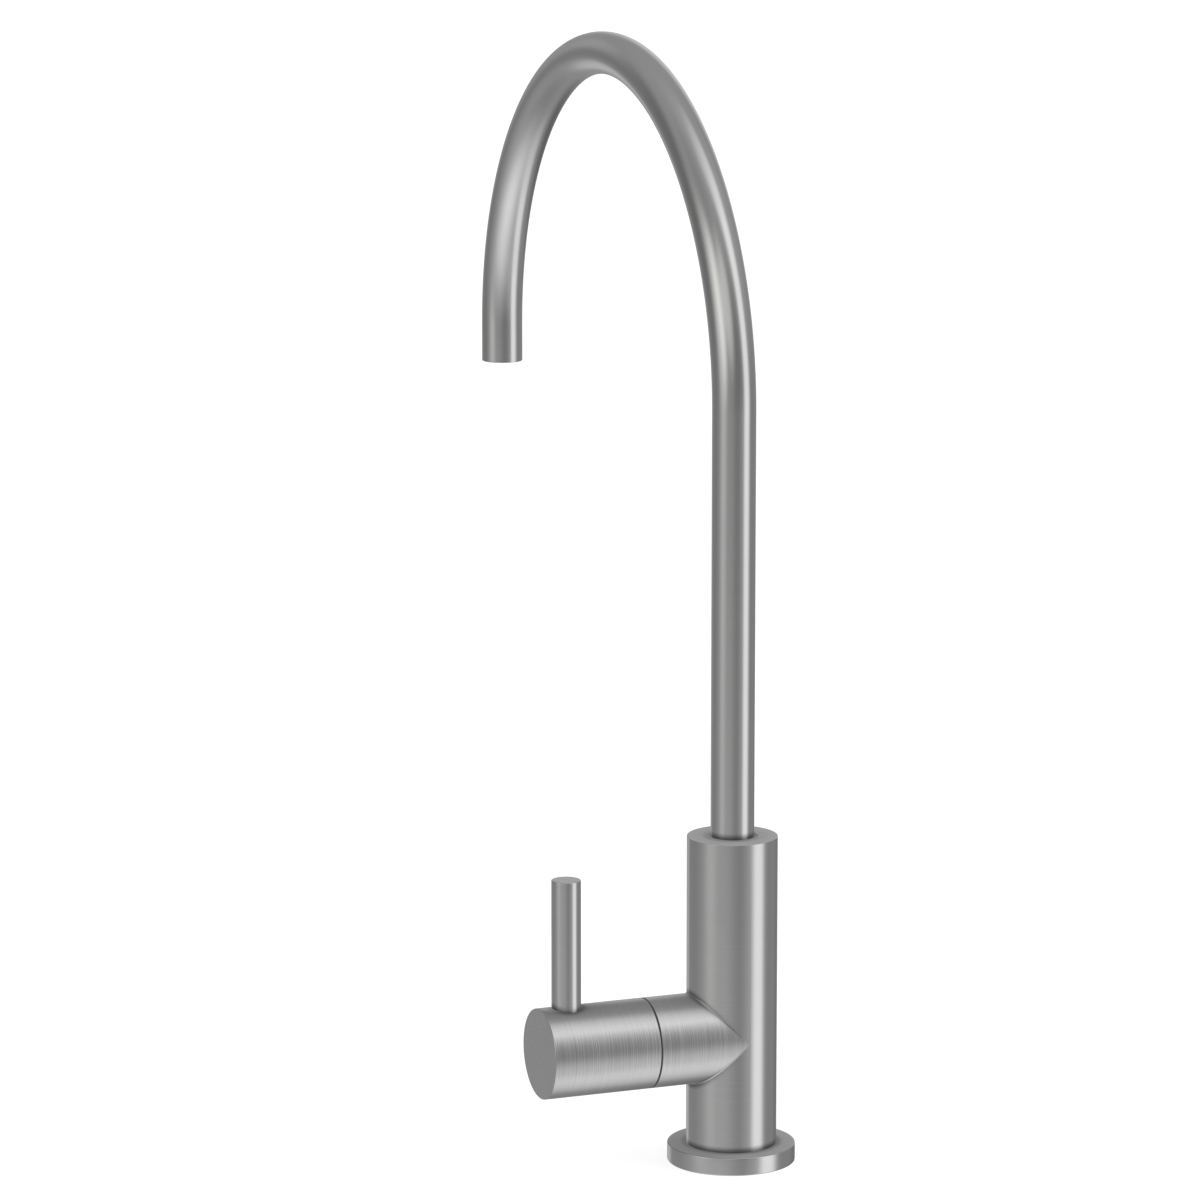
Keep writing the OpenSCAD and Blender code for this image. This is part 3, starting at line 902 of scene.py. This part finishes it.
# Pieces out of sight inside the body keep their CAD shape: the shank's seal, the swivel's stem, bush,
# thrust washer and rings, and the valve cartridge with its discs, spindle, seals and clip.
cartridge_brass = brushed("brass_turned_round_x", BRASS_DARK, BRASS_LIGHT, round_x)
ceramic = moulded("alumina", (0.78, 0.77, 0.74, 1), (0.84, 0.83, 0.80, 1), 0.15, 8000)
INNER_FINISH = {
    "shank_seal": rubber,
    "spout_stem": brass,
    "stem_o_rings": rubber,
    "spout_bush": white_acetal,
    "spout_thrust_washer": white_acetal,
    "cartridge_housing": cartridge_brass,
    "housing_o_ring": rubber,
    "seat_seal": rubber,
    "fixed_ceramic_disc": ceramic,
    "moving_ceramic_disc": ceramic,
    "valve_spindle": cartridge_brass,
    "spindle_o_rings": rubber,
    "spindle_clip": bright_steel,
}
for node, finish in INNER_FINISH.items():
    inner = frame["nodes"][node]
    inner.visible_glossy = False
    for holder in inner.material_slots:
        holder.material = finish

# Floor: a wide pale worktop at the flange's underside, which takes the tap's shadow. It is left out of
# reflections, because the studio below already holds its white, and it shades nothing itself.
floor_size = 16
floor_glow = 0.7


def seen_straight(start):
    """1 for what the eye sees straight on, also through glass, and 0 for what lights and mirrors."""
    bare = start.node("LightPath", output="Is Camera Ray")
    through = start.node("LightPath", output="Is Transmission Ray")
    return bare.math("MAXIMUM", through)


bpy.ops.object.select_all(action="DESELECT")
bpy.ops.mesh.primitive_plane_add(size=floor_size, location=(0, 0, 0))
floor = bpy.context.object
floor.name = "worktop"
floor.visible_glossy = False
floor.visible_shadow = False
worktop_white, start, _ = new_material("white_worktop")
shine = seen_straight(start) * floor_glow
glow = start.node("Emission", None, {"Color": (1, 1, 1, 1), "Strength": shine})
paper = start.node("BsdfDiffuse", None, {"Color": (0.75, 0.75, 0.75, 1)})
both = start.node("AddShader", None, {0: glow, 1: paper})
start.node("OutputMaterial", None, {"Surface": both})
floor.data.materials.append(worktop_white)

# Studio: a grey room with a window wall to the camera's left, a pale backdrop behind the tap, a white
# table with an apron below it, a tall key strip and a side wall to the right, and dark flags between
# them. The eye sees plain white past the tap, and the metal mirrors the room.
DEGREES = 180 / math.pi
camera_azimuth = math.radians(158.291)
camera_tilt = math.radians(11.142)
to_camera = (math.sin(camera_azimuth), -math.cos(camera_azimuth))
to_right = (math.cos(camera_azimuth), math.sin(camera_azimuth))
world = bpy.data.worlds.new("studio")
bpy.context.scene.world = world
world.use_nodes = True
world.node_tree.nodes.clear()
start = Wire(world.node_tree)
x, y, z = start.node("TexCoord", output="Generated").split()
ahead = x * to_camera[0] + y * to_camera[1]
aside = x * to_right[0] + y * to_right[1]
elevation = z.math("ARCSINE") * DEGREES


def lobe(angle, spread, edge):
    """Runs from 1 at the angle 0 down to 0 past the spread; a larger edge makes the fall steeper."""
    off = angle.math("ABSOLUTE") / spread
    return (off.math("POWER", edge) * -1.0).math("EXPONENT")


def pool(bearing, height, spread, edge):
    """A soft pool of light about one direction: bearing to the camera's right, and height, in degrees."""
    flat = math.cos(math.radians(height))
    forward = flat * math.cos(math.radians(bearing))
    sideways = flat * math.sin(math.radians(bearing))
    along = ahead * forward + aside * sideways + z * math.sin(math.radians(height))
    return lobe(along.math("ARCCOSINE") * DEGREES, spread, edge)


window = 0.43 * pool(-59, 9, 23, 4) + 0.44 * pool(-45, 18, 20, 4) + 0.44 * pool(-8, 25, 20, 4)
backdrop = 0.34 * pool(166, 11, 18, 4) + 0.27 * pool(-152, -22, 11, 4) + 0.1 * pool(-142, 17, 12, 3)
table_top = ramp(elevation, -8, -28)
table = (0.53 * pool(-28, -55, 38, 2) + 0.22 * pool(-34, -42, 45, 2)) * table_top
ceiling = 0.05 * ramp(elevation, 25, 45) + 0.12 * ramp(elevation, 55, 90)
apron = 0.13 * pool(42, -23, 16, 3)
side_wall = 0.08 * pool(107, 26, 24, 4)
left_flag = 0.15 * pool(-109, 8, 22, 3) + 0.07 * pool(-133, -5, 12, 3) + 0.18 * pool(-110, -65, 25, 3)
front_flag = 0.13 * pool(19, 5, 28, 3)
right_flag = 0.2 * pool(153, -31, 22, 3) + 0.05 * pool(111, -7, 16, 3)
high_flag = 0.06 * pool(-50, 54, 22, 3)
key_bearing = math.radians(69)
key_along = [
    math.cos(key_bearing) * to_camera[i] + math.sin(key_bearing) * to_right[i] for i in (0, 1)
]
key_across = (-key_along[1], key_along[0])
key_lean = (10 - 8 * z) * (1 - from_axis(x, y))
off_key = (x * key_across[0] + y * key_across[1]).math("ARCSINE") * DEGREES - key_lean
toward_key = x * key_along[0] + y * key_along[1]
key_rise = z.math("ARCTAN2", toward_key) * DEGREES
key_glow = 0.68 * lobe(off_key, 18, 4) * ramp(key_rise, 95, 56) * ramp(key_rise, -95, -45)
grey = 0.36
light = window + backdrop + side_wall + table + apron + ceiling + key_glow
room = grey + light - left_flag - front_flag - right_flag - high_flag
strength = room.math("MAXIMUM", seen_straight(start))
tint = window.math("MINIMUM", 1.0).mix((1, 1, 1, 1), (1, 0.985, 0.95, 1))
background = start.node("Background", None, {"Color": tint, "Strength": strength})
start.node("OutputWorld", None, {"Surface": background})

# Key light: a tall softbox on a stand to the camera's right, in line with the studio's key strip. It
# adds to that strip on the metal and casts the tap's shadow.
key_distance = 1.6
key_height = 0.8
key_radiance = 0.14
bpy.ops.object.light_add(
    type="AREA",
    location=(key_along[0] * key_distance, key_along[1] * key_distance, key_height),
)
key = bpy.context.object
key.name = "key_softbox"
key.data.shape = "RECTANGLE"
key.data.size = 0.7
key.data.size_y = 2.8
key.data.energy = key_radiance * math.pi * key.data.size * key.data.size_y
key.visible_camera = False
aim = math.atan2(key_along[1], key_along[0])
key.rotation_euler = (math.pi / 2, 0, aim + math.pi / 2)

# Camera: where the photograph's stood, with a long lens, behind the tap and a little above it. Its
# place and lens were fitted to the tap's outline.
camera_data = bpy.data.cameras.new("camera")
camera_data.lens = 181.243
camera_data.sensor_width = 36
camera = bpy.data.objects.new("camera", camera_data)
bpy.context.scene.collection.objects.link(camera)
camera.location = (0.630602, 1.485755, 0.475503)
camera.rotation_euler = (math.pi / 2 - camera_tilt, 0, camera_azimuth)
bpy.context.scene.camera = camera
bpy.context.scene.view_settings.view_transform = "Standard"
